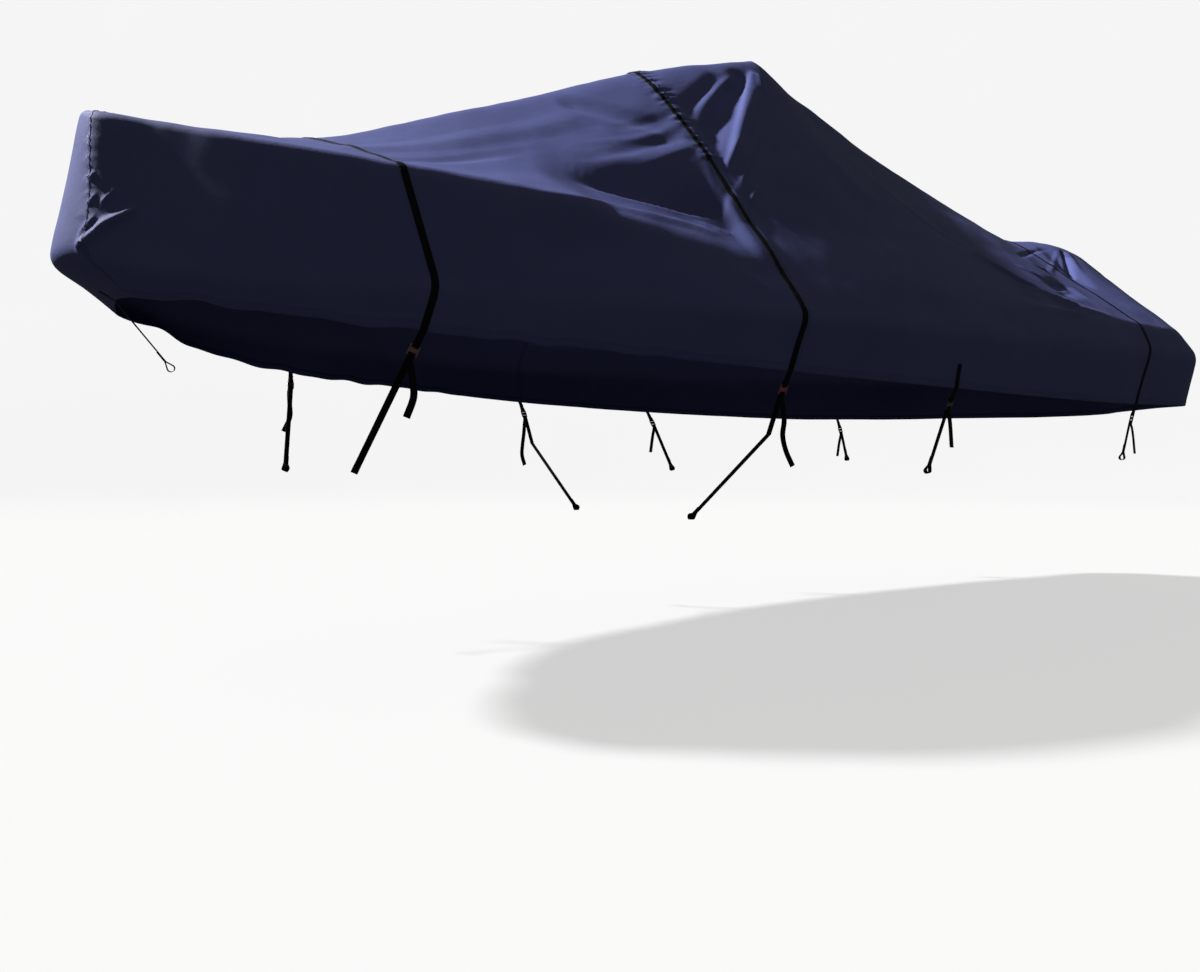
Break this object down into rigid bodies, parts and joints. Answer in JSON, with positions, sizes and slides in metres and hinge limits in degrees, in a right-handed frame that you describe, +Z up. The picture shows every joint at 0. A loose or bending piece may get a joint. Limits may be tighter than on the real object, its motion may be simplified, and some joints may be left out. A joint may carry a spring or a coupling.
{
  "type": "boat cover",
  "caption": "Fitted fabric boat cover in its worn shape, peaked amidships, with over-straps, slide buckles and tie-down tails.",
  "frame": {"origin": "on the cloth's underside at its highest point, where the boat or its support pole holds it up", "axes": "+X aft along the centreline, +Y to starboard, +Z up"},
  "size_m": [6.3512, 2.454, 2.3862],
  "materials": {
    "cloth": "matt coated polyester, navy",
    "webbing": "flat woven webbing, black",
    "buckle": "moulded plastic, dark red-brown"
  },
  "bodies": {
    "root": {"aft_buckle_port": "buckle", "aft_buckle_starboard": "buckle", "aft_panel": "cloth", "aft_strap": "webbing", "aft_tail_port": "webbing", "aft_tail_starboard": "webbing", "bow_tie": "webbing", "fore_buckle_port": "buckle", "fore_buckle_starboard": "buckle", "fore_panel": "cloth", "fore_strap": "webbing", "fore_tail_port": "webbing", "fore_tail_starboard": "webbing", "mid_buckle_port": "buckle", "mid_buckle_starboard": "buckle", "mid_strap": "webbing", "mid_tail_port": "webbing", "mid_tail_starboard": "webbing", "nose_panel": "cloth", "side_buckle_port": "buckle", "side_buckle_starboard": "buckle", "side_tail_port": "webbing", "side_tail_starboard": "webbing", "side_tie_port": "webbing", "side_tie_starboard": "webbing"}
  },
  "joints": []
}
